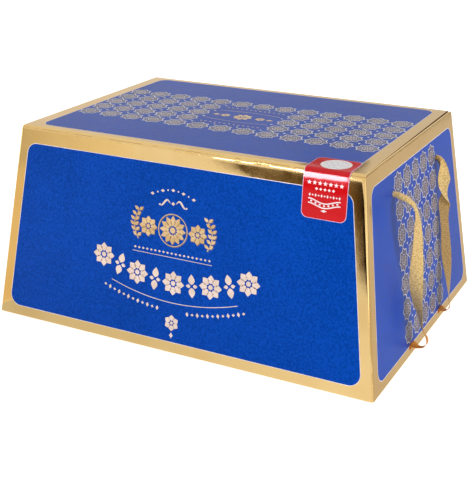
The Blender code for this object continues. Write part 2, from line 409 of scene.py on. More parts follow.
def ground_material(name, dark, light):
    """Ink under the stars, a blue tone that stays deep where it is glossy."""
    made = Nodes(name, light, 0.34)
    made.color(made.noise(0.004), dark, light)
    made.shade({"Specular Tint": (0.10, 0.32, 1.0, 1)})
    return made.material


def ribbon_material(name, dark, light):
    """Woven metallic ribbon: threads along and across it, with painted glints, which are lighter specks of
    colour in a random grain that is also glossier there.

    Over its last part, where it curls back into the carton, it is painted a deeper copper: painted shade and
    reflection of the curl."""
    made = Nodes(name, light, 0.40, 0.6)
    threads = made.uv("weave")
    grain = made.noise(0.0011, 3.0, made.stretch((2.0, 0.55, 1.0), threads), 0.5)
    # Painted glints: the grain mixes the colour towards the light tone in small specks
    painted_glint = made.span(grain, 0.34, 0.62)
    along, across, _ = made.axes(threads)
    warp, weft = [made.math("SINE", made.times(way, 2 * pi / THREAD_PITCH)) for way in (across, along)]
    woven = made.mix(painted_glint, dark, light)
    # Painted shade and reflection: a deeper copper towards the foot, where the ribbon curls back into the
    # carton
    painted_foot_shade = made.mix(painted_glint, (0.62, 0.17, 0.0008), (0.98, 0.36, 0.004))
    made.color(made.span(along, *RIBBON_FOOT_SHADE), woven, painted_foot_shade)
    made.shade({"Roughness": made.span(grain, 0.3, 0.7, 0.52, 0.30)})
    made.bump(made.times(warp, weft), 0.00007)
    made.bump(grain, 0.00025)
    return made.material


def red_material():
    """Glossy printed paper."""
    made = Nodes("red_label", (0.46, 0.0005, 0.003), 0.12)
    made.color(made.noise(0.012), (0.42, 0.0003, 0.002), (0.51, 0.001, 0.004))
    made.shade({"Specular IOR Level": 0.5, "Specular Tint": (1.0, 0.62, 0.70, 1)})
    made.bump(made.noise(0.009, 1.0), 0.00010)
    return made.material


def silver_material():
    """Brushed silver of the seal."""
    made = Nodes("silver_seal", (0.52, 0.54, 0.57), 0.34, 0.5)
    grain = made.noise(0.0016, 2.0)
    made.color(made.span(grain, 0.35, 0.65), (0.58, 0.57, 0.59), (0.90, 0.85, 0.87))
    made.bump(grain, 0.00008)
    return made.material


def plain_material(name, dark, light, roughness):
    """Board, paper or matt ink."""
    made = Nodes(name, light, roughness)
    grain = made.noise(0.0012, 3.0)
    made.color(grain, dark, light)
    made.bump(grain, 0.00004)
    return made.material


# Mesh helpers

def finish_mesh(name, bm, materials, smooth_angle=None):
    mesh = bpy.data.meshes.new(name)
    bm.to_mesh(mesh)
    bm.free()
    for material in materials:
        mesh.materials.append(material)
    made = bpy.data.objects.new(name, mesh)
    scene.collection.objects.link(made)
    if smooth_angle:
        mesh.shade_smooth()
        mesh.set_sharp_from_angle(angle=radians(smooth_angle))
    return made


def keep(piece, slot, *replaced):
    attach(piece, "root")
    if replaced:
        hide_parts(*replaced)


def loft(bm, rings, closed=False):
    """Joins equal rings of points one after another; closed also joins the last to the first."""
    made = [[bm.verts.new(point) for point in ring] for ring in rings]
    count = len(made[0])
    for lower, upper in zip(made, made[1:] + made[:1] if closed else made[1:]):
        for i in range(count):
            j = (i + 1) % count
            bm.faces.new((lower[i], lower[j], upper[j], upper[i]))
    if not closed:
        bm.faces.new(made[0][::-1])
        bm.faces.new(made[-1])
    return made


# Panels: each matrix has its origin at the middle of a panel's foot, X along it, Y up its
# slope and Z out of it. The top panel's origin is its middle.

def half_length(z):
    return LENGTH / 2 - END_INSET * z / HEIGHT


def half_width(z):
    return WIDTH / 2 - SIDE_INSET * z / HEIGHT


def panel_frame(out, foot_distance, inset):
    out = Vector(out)
    rise = (Vector((0, 0, HEIGHT)) - out * inset).normalized()
    along = Vector((0, 0, 1)).cross(out)
    turn = Matrix((along, rise, along.cross(rise))).transposed().to_4x4()
    return Matrix.Translation(out * foot_distance) @ turn


FRONT = panel_frame((0, -1, 0), WIDTH / 2, SIDE_INSET)
BACK = panel_frame((0, 1, 0), WIDTH / 2, SIDE_INSET)
RIGHT_END = panel_frame((1, 0, 0), LENGTH / 2, END_INSET)
LEFT_END = panel_frame((-1, 0, 0), LENGTH / 2, END_INSET)
TOP = Matrix.Translation((0, 0, HEIGHT))
SIDE_SLOPE = hypot(HEIGHT, SIDE_INSET)
END_SLOPE = hypot(HEIGHT, END_INSET)


# Board

def board_ring(half_x, half_y, radius, z, counts):
    """Rounded rectangle whose straight edges have the given numbers of points."""
    def spot(corner, step):
        side_x, side_y, start = corner
        angle = radians(start + 90 * step / CORNER_STEPS)
        centre = Vector((side_x * (half_x - radius), side_y * (half_y - radius)))
        return centre + radius * Vector((cos(angle), sin(angle)))

    points = []
    corners = ((1, 1, 0), (-1, 1, 90), (-1, -1, 180), (1, -1, 270))
    for corner, following, count in zip(corners, corners[1:] + corners[:1], counts):
        points += [spot(corner, step) for step in range(CORNER_STEPS + 1)]
        end = spot(following, 0)
        points += [points[-1].lerp(end, step / count) for step in range(1, count)]
    return [Vector((*point, z)) for point in points]


def base_ring(elevation, lean, counts):
    """One ring of the rounded fold along the foot."""
    edge_z = BASE_FOLD * (1 + sin(lean))
    inward = BASE_FOLD * (cos(lean) - cos(elevation))
    z = edge_z + BASE_FOLD * (sin(elevation) - sin(lean))
    corner = max(UPRIGHT_FOLD - inward, SMALLEST_CORNER)
    return board_ring(half_length(edge_z) - inward, half_width(edge_z) - inward, corner, z, counts)


def folded_half(half_at, inset, radius, z):
    """Half size of the carton at a height, where the fold along its top is rounded."""
    lean = atan(inset / HEIGHT)
    edge_z = HEIGHT - radius * (1 - sin(lean))
    if z <= edge_z:
        return half_at(z)
    sine = 1 - (HEIGHT - z) / radius
    return half_at(edge_z) - radius * (cos(lean) - sqrt(1 - sine ** 2))


def top_ring(z, counts, inward=0.0):
    """One ring of the folds along the top, which are wide at the sides and tight at the ends."""
    half_x = folded_half(half_length, END_INSET, END_FOLD, z)
    half_y = folded_half(half_width, SIDE_INSET, SIDE_FOLD, z)
    corner = max(UPRIGHT_FOLD + half_x - half_length(z), SMALLEST_CORNER)
    return board_ring(half_x - inward, half_y - inward, corner, z, counts)


def panel_ring(z, counts):
    return board_ring(half_length(z), half_width(z), UPRIGHT_FOLD, z, counts)


def crinkled(ring, weight):
    """The ring with small uneven dents along it, as foil has where board is bent."""
    for point in ring:
        dent = random.uniform(*CRINKLE_RANGE) * CRINKLE_DEPTH * weight
        away = Vector((point.x / half_length(point.z), point.y / half_width(point.z), 0))
        away = Vector((round(away.x), round(away.y), 0))
        point += away * dent
        point.z = min(point.z + dent / 2, HEIGHT)
    return ring


def make_board(foil, board):
    lean = atan(END_INSET / HEIGHT)
    counts = [round(size / EDGE_STEP) for size in (LENGTH, WIDTH, LENGTH, WIDTH)]
    down, up = -pi / 2, pi / 2
    rings = [board_ring(LENGTH / 2 - FOLD_GUARD * 3, WIDTH / 2 - FOLD_GUARD * 3, SMALLEST_CORNER, 0, counts)]
    for step in range(FOLD_STEPS + 1):
        rings.append(base_ring(down + (lean - down) * step / FOLD_STEPS, lean, counts))
    heights = np.linspace(BASE_FOLD + FOLD_GUARD, HEIGHT - SIDE_FOLD - FOLD_GUARD, PANEL_RINGS)
    rings += [panel_ring(z, counts) for z in heights]
    lean = atan(SIDE_INSET / HEIGHT)
    for step in range(FOLD_STEPS + 1):
        elevation = lean + (up - lean) * step / FOLD_STEPS
        weight = sin(pi * (step + 1) / (FOLD_STEPS + 2))
        z = HEIGHT - SIDE_FOLD * (1 - sin(elevation))
        rings.append(crinkled(top_ring(z, counts), weight))
    rings.append(top_ring(HEIGHT, counts, FOLD_GUARD))
    bm = bmesh.new()
    loft(bm, rings)
    for face in bm.faces:
        face.smooth = len(face.verts) == 4
        face.material_index = 1 if face.calc_center_median().z < SMALLEST_CORNER else 0
    made = finish_mesh("carton_board", bm, [foil, board])
    cut_board(made, board)
    return made


def cutter(name, bm, material):
    bmesh.ops.recalc_face_normals(bm, faces=bm.faces)
    return finish_mesh(name, bm, [material])


def seam_cutter(board):
    slope = END_INSET / HEIGHT
    low = HEIGHT - SEAM_DEPTH
    high = HEIGHT + END_FOLD
    growth = (WIDTH / 2 - SEAM_START_Y) / (half_width(HEIGHT) - SEAM_START_Y)
    outer_low = half_length(low) - SEAM_WALL
    outer_high = outer_low - slope * (high - low)
    rings = []
    for y, gap in ((SEAM_START_Y, SEAM_START_GAP), (WIDTH / 2, SEAM_BACK_GAP * growth)):
        outer_face = [(outer_low, y, low), (outer_high, y, high)]
        inner_face = [(outer_high - gap, y, high), (outer_low - gap, y, low)]
        rings.append(outer_face + inner_face)
    bm = bmesh.new()
    loft(bm, rings)
    return cutter("seam_cutter", bm, board)


def end_cutters(board):
    made = []
    for side in (-1, 1):
        bm = bmesh.new()
        place = RIGHT_END @ Matrix.Translation((side * EYELET_Y, EYELET_RISE, 0))
        bmesh.ops.create_cone(bm, cap_ends=True, segments=40, radius1=EYELET_RADIUS,
                              radius2=EYELET_RADIUS, depth=2 * POCKET_DEPTH, matrix=place)
        made.append(cutter("eyelet_cutter", bm, board))
        bm = bmesh.new()
        place = RIGHT_END @ Matrix.Translation((side * SLOT_Y, SLOT_RISE, 0))
        size = Matrix.Diagonal((SLOT_LENGTH, SLOT_HEIGHT, 2 * POCKET_DEPTH, 1.0))
        bmesh.ops.create_cube(bm, size=1.0, matrix=place @ size)
        made.append(cutter("slot_cutter", bm, board))
    return made


def cut_board(made, board):
    """Cuts the seam, eyelets and slots; their walls take the board's own material."""
    cutters = [seam_cutter(board)] + end_cutters(board)
    for tool in cutters:
        boolean = made.modifiers.new(tool.name, "BOOLEAN")
        boolean.operation = "DIFFERENCE"
        boolean.solver = "EXACT"
        boolean.material_mode = "TRANSFER"
        boolean.object = tool
    bpy.context.view_layer.update()
    result = bpy.data.meshes.new_from_object(made.evaluated_get(bpy.context.evaluated_depsgraph_get()))
    made.modifiers.clear()
    made.data = result
    for tool in cutters:
        bpy.data.objects.remove(tool, do_unlink=True)


# Flat print: thin closed shapes that lie on a panel

def star_outline(centre, radius, waist, points=8, start=0.0):
    outline = []
    for i in range(2 * points):
        reach = radius if i % 2 == 0 else waist
        angle = start + pi * i / points
        outline.append((centre[0] + reach * cos(angle), centre[1] + reach * sin(angle)))
    return outline


def circle(centre, radius, steps):
    return star_outline(centre, radius, radius, steps // 2)


def rounded_outline(corners, radius):
    """Corners in counter-clockwise order, each rounded by an arc."""
    outline = []
    count = len(corners)
    for i in range(count):
        corner = Vector(corners[i])
        before = (Vector(corners[i - 1]) - corner).normalized()
        after = (Vector(corners[(i + 1) % count]) - corner).normalized()
        half_angle = before.angle(after) / 2
        centre = corner + (before + after).normalized() * radius / sin(half_angle)
        start = corner + before * radius / tan(half_angle) - centre
        sweep = pi - 2 * half_angle
        for step in range(FIELD_CORNER_STEPS + 1):
            turn = sweep * step / FIELD_CORNER_STEPS
            outline.append(tuple(centre + Matrix.Rotation(turn, 2) @ start))
    return outline


class Print:
    """One ink on one panel, drawn at (u, v) points of the panel and at one height over it."""

    def __init__(self, place, lift=PRINT_LIFT, thickness=PRINT_THICKNESS):
        self.bm = bmesh.new()
        self.place = place
        self.lift = lift
        self.thickness = thickness

    def finish(self, name, ink, slot="foil_board"):
        keep(finish_mesh(name, self.bm, [ink]), slot)

    def levels(self, line):
        """A line's points at the foot and at the top of the ink."""
        return [[self.place @ Vector((u, v, self.lift + rise)) for u, v in line]
                for rise in (0.0, self.thickness)]

    def fill(self, outline):
        """A filled outline, counter-clockwise as seen from outside."""
        loft(self.bm, self.levels(outline))

    def band(self, outer, inner, closed=False):
        """A strip between two equal lines; outer is on the right going along."""
        loft(self.bm, list(zip(*self.levels(inner), *self.levels(outer)[::-1])), closed)

    def stroke(self, line, widths):
        """A line drawn with a pen whose width may change along it."""
        line = np.array(line)
        heading = np.gradient(line, axis=0)
        heading /= np.linalg.norm(heading, axis=1)[:, None]
        side = np.column_stack([heading[:, 1], -heading[:, 0]])
        half = np.broadcast_to(np.array(widths) / 2, len(line))[:, None]
        self.band(line + side * half, line - side * half)

    def disc(self, centre, radius, steps=16):
        self.fill(circle(centre, radius, steps))

    def ring(self, centre, radius, width, steps):
        outer, inner = [circle(centre, radius + side * width / 2, steps) for side in (1, -1)]
        self.band(outer, inner, closed=True)

    def petal(self, centre, angle, start, end, width, steps=6):
        """A pointed leaf that grows from one distance from the centre to another."""
        along = Vector((cos(angle), sin(angle)))
        across = Vector((-along.y, along.x))
        middle = Vector(centre)
        right, left = [], []
        for i in range(1, steps):
            t = i / steps
            reach = middle + along * (start + (end - start) * t)
            half = width / 2 * sin(pi * t ** PETAL_POINT)
            right.append(reach - across * half)
            left.append(reach + across * half)
        outline = [middle + along * start] + right + [middle + along * end] + left[::-1]
        self.fill([tuple(point) for point in outline])

    def lozenge(self, centre, reach, rise, turn=0.0):
        """A lozenge that reaches that far to either side of its centre and rises that far."""
        corners = ((reach, 0), (0, rise), (-reach, 0), (0, -rise))
        self.fill([(centre[0] + x * cos(turn) - y * sin(turn),
                    centre[1] + x * sin(turn) + y * cos(turn)) for x, y in corners])

    def rosette(self, centre, radius, petals):
        """A flower of pointed petals round a small disc."""
        width = 2 * radius * sin(pi / petals) * ROSETTE_FULLNESS
        for i in range(petals):
            angle = 2 * pi * i / petals + pi / 2
            self.petal(centre, angle, radius * ROSETTE_HEART, radius, width)
        self.disc(centre, radius * ROSETTE_HEART * ROSETTE_DISC)


# Blue fields

def side_field(half_foot, half_head, slope, borders, grow=0.0):
    """Corners of the blue field on a sloping panel."""
    side, foot, head = borders
    low, high = foot - grow, slope - head + grow

    def half(v):
        return half_foot + (half_head - half_foot) * v / slope - side + grow

    return [(-half(low), low), (half(low), low), (half(high), high), (-half(high), high)]


def top_field(grow=0.0):
    half_x = half_length(HEIGHT) - TOP_BORDERS[0] + grow
    half_y = half_width(HEIGHT) - TOP_BORDERS[1] + grow
    return [(-half_x, -half_y), (half_x, -half_y), (half_x, half_y), (-half_x, half_y)]


def make_field(name, place, corners, grown_corners, blue, pale):
    """A blue field, and the thin pale rim where the print stops."""
    outline = rounded_outline(corners, FIELD_RADIUS)
    field = Print(place, FIELD_LIFT)
    field.fill(outline)
    field.finish(name + "_field", blue)
    rim = Print(place, FIELD_LIFT)
    rim.band(rounded_outline(grown_corners, FIELD_RADIUS + RIM_WIDTH), outline, closed=True)
    rim.finish(name + "_field_rim", pale)


def make_fields(blue, pale):
    side = (LENGTH / 2, half_length(HEIGHT), SIDE_SLOPE, FRONT_BORDERS)
    end = (WIDTH / 2, half_width(HEIGHT), END_SLOPE, END_BORDERS)
    for name, place, sizes in (("front", FRONT, side), ("back", BACK, side),
                               ("right_end", RIGHT_END, end), ("left_end", LEFT_END, end)):
        make_field(name, place, side_field(*sizes), side_field(*sizes, RIM_WIDTH), blue, pale)
    make_field("top", TOP, top_field(), top_field(RIM_WIDTH), blue, pale)


# Star pattern

def draw_star(ground, lines, fills, centre):
    """An eight-pointed star with a flower in it, on a ground of its own."""
    radius, waist, line = [STAR_TILE * part for part in (STAR_REACH, STAR_WAIST, STAR_LINE)]
    inner = star_outline(centre, radius - line, waist - line)
    ground.fill(inner)
    lines.band(star_outline(centre, radius, waist), inner, closed=True)
    lines.ring(centre, radius * STAR_RING, line * STAR_RING_LINE, 20)
    for i in range(16):
        leaves = (OUTER_LEAF, INNER_LEAF) if i % 2 else (OUTER_LEAF,)
        for start, end, width in leaves:
            fills.petal(centre, pi * i / 8, radius * start, radius * end, radius * width, 3)
    fills.disc(centre, radius * STAR_HEART, 8)


def make_pattern(name, place, centres, corners, inks):
    """Stars at the centres, and small lozenges where four tiles meet."""
    ground = Print(place)
    lines = Print(place, PRINT_LIFT + PRINT_THICKNESS)
    fills = Print(place, PRINT_LIFT + PRINT_THICKNESS)
    for centre in centres:
        draw_star(ground, lines, fills, centre)
    lines.lift = PRINT_LIFT
    for centre in corners:
        lines.lozenge(centre, STAR_TILE * CORNER_LOZENGE, STAR_TILE * CORNER_LOZENGE)
    for layer, drawn, ink in zip(("grounds", "lines", "fills"), (ground, lines, fills), inks):
        drawn.finish(f"{name}_star_{layer}", ink)


def grid(size, pitch, rise=0.0):
    """Counts from the middle, and the place, of each tile in a grid."""
    made = []
    for i in range(size[0]):
        for j in range(size[1]):
            across, up = i - (size[0] - 1) / 2, j - (size[1] - 1) / 2
            made.append((across, up, (across * pitch[0], rise + up * pitch[1])))
    return made


def make_patterns(top_inks, end_inks):
    """A pattern on the top with a bare middle, and one on each end."""
    tops, ends = [], []
    for less in (0, 1):
        tiles = grid((TOP_GRID[0] - less, TOP_GRID[1] - less), TOP_PITCH)
        tops.append([place for i, j, place in tiles if max(abs(i), abs(j)) > TOP_BARE])
        tiles = grid((END_GRID[0] - less, END_GRID[1] - less), END_PITCH, END_MIDDLE_RISE)
        ends.append([place for _, _, place in tiles])
    make_pattern("top", TOP, *tops, top_inks)
    make_pattern("right_end", RIGHT_END, *ends, end_inks)
    make_pattern("left_end", LEFT_END, *ends, end_inks)


# Ornaments on the front and back, in millimetres from the middle of the panel's foot

def at(u, v):
    return (u * MM, v * MM)


def on_garland(distance, low):
    """Place and turn of a point on a hanging arc, a distance from its lowest point."""
    angle = distance / GARLAND_RADIUS
    place = (GARLAND_RADIUS * sin(angle), low + GARLAND_RADIUS * (1 - cos(angle)))
    return place, angle


def draw_wave(ink, centre, size):
    """Two swelling strokes that wave outwards from a lozenge and end in dots."""
    turns = np.linspace(0.0, 1.0, 30)
    widths = (0.3 + 1.3 * np.sin(turns * pi)) * MM
    for side in (-1, 1):
        line = [(centre[0] + side * size * (0.22 + 0.78 * t),
                 centre[1] + size * 0.20 * sin(1.7 * pi * t)) for t in turns]
        ink.stroke(line, widths)
        ink.disc(line[-1], 0.8 * MM)
    ink.lozenge(centre, size * 0.14, size * 0.12)


def draw_crest(ink, centre):
    """A large rosette between two leafy branches and two small rosettes."""
    ink.rosette(centre, 12.2 * MM, 12)
    ink.ring(centre, 13.4 * MM, 0.7 * MM, 48)
    for side in (-1, 1):
        ink.rosette((centre[0] + side * 23.2 * MM, centre[1]), 8.6 * MM, 8)
        stem = []
        for t in np.linspace(0.0, 1.0, 12):
            reach = (32.5 + 4.0 * sin(pi * t)) * MM
            stem.append((centre[0] + side * reach, centre[1] + (t - 0.5) * 24 * MM))
        ink.stroke(stem if side > 0 else stem[::-1], 0.7 * MM)
        for i in range(1, 12, 2):
            for lean in (-LEAF_LEAN, LEAF_LEAN):
                ink.petal(stem[i], pi / 2 + lean, 0.4 * MM, 5.2 * MM, 2.7 * MM)


def draw_small_print(ink):
    """An arch of dots and lozenges, a wave, and a row of lozenges over a line."""
    for i in range(-4, 5):
        place = at(i * 4.8 - 3.5, 133.5 + 5.0 * cos(i / 4 * pi / 2))
        if i % 2:
            ink.disc(place, 0.7 * MM)
        else:
            ink.lozenge(place, 1.9 * MM, 1.3 * MM)
    draw_wave(ink, at(-3, 127.5), 12.5 * MM)
    for i in range(-9, 10):
        ink.lozenge(at(i * 3.9 - 2.5, 86.0), 1.3 * MM, 1.0 * MM)
    ink.stroke([at(-40, 82.6), at(-2, 82.6), at(35, 82.6)], 0.45 * MM)


def draw_garland(ink):
    """A hanging row of rosettes and leaves over a line and a row of beads, with a drop below."""
    for i in range(-4, 5):
        centre, turn = on_garland(i * GARLAND_STEP, GARLAND_LOW)
        if i % 2 == 0:
            ink.rosette(centre, 10.4 * MM, 8)
        else:
            for lean in (turn, turn + pi):
                ink.petal(centre, lean + pi / 2, 1.2 * MM, 10.0 * MM, 6.0 * MM, 10)
                ink.petal(centre, lean, 1.2 * MM, 5.4 * MM, 3.2 * MM)
    ink.stroke([on_garland(d, UNDERLINE_LOW)[0] for d in np.linspace(-61 * MM, 61 * MM, 40)], 0.6 * MM)
    for i in range(-14, 15):
        if abs(i) > 2:
            centre, turn = on_garland(i * 4.8 * MM, BEADS_LOW)
            ink.lozenge(centre, 1.4 * MM, (2.1 if i % 2 else 1.2) * MM, turn)
    ink.rosette(at(0, 26.5), 7.0 * MM, 6)
    ink.lozenge(at(0, 15.6), 1.7 * MM, 2.6 * MM)


def make_front_print(name, place, gold, cream_reflection, shade):
    crest = Print(place, PRINT_LIFT + PRINT_THICKNESS)
    draw_crest(crest, at(-2.5, 105.5))
    crest.finish(name + "_crest", gold)
    crest_shade = Print(place)
    draw_crest(crest_shade, at(-1.9, 104.9))
    crest_shade.finish(name + "_crest_shade", shade)
    small_print = Print(place)
    draw_small_print(small_print)
    small_print.finish(name + "_small_print", cream_reflection)
    garland = Print(place)
    draw_garland(garland)
    garland.finish(name + "_garland", cream_reflection)


def make_top_print(gold):
    """The ornament in the bare middle of the top field."""
    ink = Print(TOP)
    ink.rosette((0, 0), 9.0 * MM, 8)
    for side in (-1, 1):
        ink.rosette(at(side * 17, 0), 4.6 * MM, 6)
        ink.lozenge(at(side * 26, 0), 3.6 * MM, 2.2 * MM)
        line = [at(t * 30, side * (14 + 3 * cos(t * pi / 2))) for t in np.linspace(-1, 1, 21)]
        ink.stroke(line, 0.5 * MM)
        for i in range(-6, 7):
            ink.lozenge(at(i * 4.6, side * 26), 1.3 * MM, 0.9 * MM)
    ink.finish("top_middle_print", gold)


# Ribbons

def spline(points, step):
    """Catmull-Rom curve through rows of x, y, z and angles, read at equal steps of length."""
    points = np.array(points)
    ends = np.vstack([2 * points[0] - points[1], points, 2 * points[-1] - points[-2]])
    fine = []
    for a, b, c, d in zip(ends, ends[1:], ends[2:], ends[3:]):
        squared = 2 * a - 5 * b + 4 * c - d
        cubed = 3 * b - 3 * c + d - a
        for t in np.arange(SPLINE_PARTS) / SPLINE_PARTS:
            fine.append(b + ((c - a) * t + squared * t ** 2 + cubed * t ** 3) / 2)
    fine = np.array(fine + [points[-1]])
    travelled = np.append(0.0, np.cumsum(np.linalg.norm(np.diff(fine[:, :3], axis=0), axis=1)))
    stops = np.linspace(0.0, travelled[-1], round(travelled[-1] / step) + 1)
    return np.column_stack([np.interp(stops, travelled, column) for column in fine.T]), travelled[-1]


def ribbon_section(centre, tangent, turn, curl, fold):
    """Thin closed outline across the ribbon, with each point's place across its width."""
    level = Vector((0.0, 1.0, 0.0))
    level = (level - level.dot(tangent) * tangent).normalized()
    across = cos(turn) * level + sin(turn) * tangent.cross(level)
    face = across.cross(tangent)
    places = np.linspace(-RIBBON_WIDTH / 2, RIBBON_WIDTH / 2, RIBBON_SPANS + 1)
    crease = (places - fold * RIBBON_WIDTH / 2) / (pi * RIBBON_FOLD_RADIUS)
    bend = curl * places / RIBBON_WIDTH - pi * np.clip(crease + 0.5, 0.0, 1.0)
    middle_bend = (bend[1:] + bend[:-1]) / 2
    span = RIBBON_WIDTH / RIBBON_SPANS
    flat = np.append(0.0, np.cumsum(np.cos(middle_bend) * span))
    deep = np.append(0.0, np.cumsum(-np.sin(middle_bend) * span))
    flat -= flat.mean()
    deep -= deep.mean()
    outline = []
    for side in (1, -1):
        for u, v, angle, place in list(zip(flat, deep, bend, places))[::side]:
            u += side * sin(angle) * RIBBON_THICKNESS / 2
            v += side * cos(angle) * RIBBON_THICKNESS / 2
            outline.append((centre + across * u + face * v, place))
    return outline


def make_ribbon(name, route, under, over):
    """A ribbon along its route, with a material for either face."""
    scale = (MM, MM, MM, radians(1), radians(1), 1)
    stations, length = spline(np.array(route) * scale, RIBBON_STEP)
    tangents = np.gradient(stations[:, :3], axis=0)
    sections = []
    for (x, y, z, turn, curl, fold), tangent in zip(stations, tangents):
        centre = Vector((x, y, z))
        sections.append(ribbon_section(centre, Vector(tangent).normalized(), turn, curl, fold))
    bm = bmesh.new()
    made = loft(bm, [[point for point, _ in section] for section in sections])
    for i, face in enumerate(bm.faces):
        face.material_index = 0 if i % len(made[0]) < RIBBON_SPANS else 1
    bmesh.ops.recalc_face_normals(bm, faces=bm.faces)
    weave = bm.loops.layers.uv.new("weave")
    spots = {}
    for i, (corners, section) in enumerate(zip(made, sections)):
        for corner, (_, place) in zip(corners, section):
            spots[corner] = (i * RIBBON_STEP, place)
    for face in bm.faces:
        for loop in face.loops:
            loop[weave].uv = spots[loop.vert]
    ribbon = finish_mesh(name + "_woven", bm, [under, over], 50)
    keep(ribbon, "ribbon", name)
    path = [tuple(station[:3]) for station in stations[::4]]
    if tuple(stations[-1][:3]) != path[-1]:
        path.append(tuple(stations[-1][:3]))


# Label

def label_bulge(drop):
    """How far the label stands off the front panel, that far below the fold."""
    if drop < LABEL_BULGE_PEAK:
        return LABEL_BULGE * (1 - (1 - drop / LABEL_BULGE_PEAK) ** 2)
    phase = (LABEL_BULGE_END - drop) / (LABEL_BULGE_END - LABEL_BULGE_PEAK)
    return LABEL_BULGE * (1 - cos(pi * max(phase, 0.0))) / 2


def label_profile(offset, shrink):
    """Points along the label from back to foot, each with how far its rounded end is in."""
    lean = atan(SIDE_INSET / HEIGHT)
    fold_z = HEIGHT - SIDE_FOLD
    edge_z = HEIGHT - SIDE_FOLD * (1 - sin(lean))
    fold_y = -half_width(edge_z) + SIDE_FOLD * cos(lean)
    normal = Vector((0, -cos(lean), sin(lean)))
    down = Vector((0, -sin(lean), -cos(lean)))
    corner = [LABEL_CORNER * (1 - cos(pi / 2 * s / LABEL_CORNER_STEPS))
              for s in range(LABEL_CORNER_STEPS + 1)]
    profile = []
    for inset in corner:
        profile.append((inset, Vector((0, LABEL_BACK_Y - shrink - inset, HEIGHT + offset))))
    fold_end = lean + atan(2 * LABEL_BULGE / LABEL_BULGE_PEAK)
    for elevation in np.linspace(pi / 2, fold_end, FOLD_STEPS + 1):
        y = fold_y - (SIDE_FOLD + offset) * cos(elevation)
        z = fold_z + (SIDE_FOLD + offset) * sin(elevation)
        profile.append((LABEL_CORNER, Vector((0, y, z))))
    start = Vector((0, -half_width(edge_z), edge_z))
    reach = LABEL_FRONT_DROP - shrink
    drops = [(LABEL_CORNER, drop) for drop in np.linspace(0, reach - LABEL_CORNER, LABEL_ROWS + 1)[1:-1]]
    drops += [(inset, reach - inset) for inset in reversed(corner)]
    for inset, drop in drops:
        profile.append((inset, start + down * drop + normal * (offset + label_bulge(drop))))
    return profile


def label_sheet(low_offset, high_offset, shrink, name, material):
    """A closed sheet that follows the label's fold, smaller all round by shrink."""
    inner = label_profile(low_offset, shrink)
    outer = label_profile(high_offset, shrink)
    rings = []
    for (inset, low), (_, high) in zip(inner, outer):
        narrow = LABEL_CORNER - sqrt(max(LABEL_CORNER ** 2 - (LABEL_CORNER - inset) ** 2, 0.0))
        left = LABEL_LEFT + shrink + narrow
        right = LABEL_RIGHT - shrink - narrow
        columns = np.linspace(left, right, LABEL_COLUMNS + 1)
        rings.append([(x, low.y, low.z) for x in columns] + [(x, high.y, high.z) for x in columns[::-1]])
    bm = bmesh.new()
    loft(bm, rings)
    bmesh.ops.recalc_face_normals(bm, faces=bm.faces)
    return finish_mesh(name, bm, [material], 40)


def make_label(red, white, silver, pale, paper):
    paper_top = LABEL_GAP + LABEL_THICKNESS
    top = paper_top + PRINT_THICKNESS
    sheet = label_sheet(LABEL_GAP, paper_top, 0.0, "label_sheet", paper)
    keep(sheet, "label", "label")
    keep(label_sheet(paper_top, top, LABEL_RIM, "label_print_red", red), "label")
    seal = Print(TOP, top + FIELD_LIFT, SEAL_THICKNESS)
    seal.disc(SEAL_CENTRE, SEAL_RADIUS, SEAL_STEPS)
    seal.finish("label_seal", silver, "label")
    rims = Print(TOP, top + FIELD_LIFT * 2)
    rims.ring(SEAL_CENTRE, SEAL_RADIUS, SEAL_RIM, SEAL_STEPS)
    rims.lift = top + FIELD_LIFT * 3
    rims.ring(SEAL_CENTRE, SEAL_INNER_RADIUS, SEAL_INNER_RIM, SEAL_STEPS)
    rims.finish("label_seal_rims", pale, "label")
    make_label_print(white, top + FIELD_LIFT)


def make_label_print(white, lift):
    """Rows of stars, lozenges and waves, in millimetres from the middle of the label's fold."""
    middle = (LABEL_LEFT + LABEL_RIGHT) / 2
    fold = SIDE_SLOPE - LABEL_FOLD_DROP

    def below(u, drop):
        return (middle + u * MM, fold - drop * MM)

    ink = Print(FRONT, lift)
    for i in range(-3, 4):
        ink.fill(star_outline(below(i * 4.3, 6.2), 1.9 * MM, 0.8 * MM, 5, pi / 2))
    for i in range(-2, 3):
        ink.lozenge(below(i * 3.4, 10.6), 1.2 * MM, 1.2 * MM)
    for i in range(-5, 6):
        ink.lozenge(below(i * 2.4, 15.6), 0.8 * MM, (1.3 if i % 2 else 0.7) * MM)
    for side in (-1, 1):
        ink.stroke([below(13 * t, 21.6 + 1.7 * side + 1.5 * cos(pi * t))
                    for t in np.linspace(-1, 1, 25)], 0.9 * MM)
    for i in range(-3, 4):
        ink.disc(below(i * 3.5, 21.6 + 1.5 * cos(i / 3.6 * pi)), 0.8 * MM, 12)
    ink.lozenge(below(0, 27.0), 2.6 * MM, 1.0 * MM)
    for vert in ink.bm.verts:
        drop = fold - (FRONT.inverted() @ vert.co).y
        vert.co += FRONT.col[2].to_3d() * label_bulge(drop)
    ink.finish("label_print", white, "label")


# Studio

def add_area_light(name, place, target, size, power):
    """A soft light for the matt surfaces; the foil reflects the cards instead."""
    data = bpy.data.lights.new(name, "AREA")
    data.shape = "RECTANGLE"
    data.size, data.size_y = size
    data.energy = power
    light = bpy.data.objects.new(name, data)
    light.location = place
    light.rotation_euler = (Vector(target) - Vector(place)).to_track_quat("-Z", "Y").to_euler()
    light.visible_glossy = False
    scene.collection.objects.link(light)


def stage_for(piece, ray):
    """Keeps a piece of the stage visible to one kind of ray alone."""
    for kind in ("camera", "diffuse", "glossy", "shadow", "transmission", "volume_scatter"):
        setattr(piece, "visible_" + kind, kind == ray)


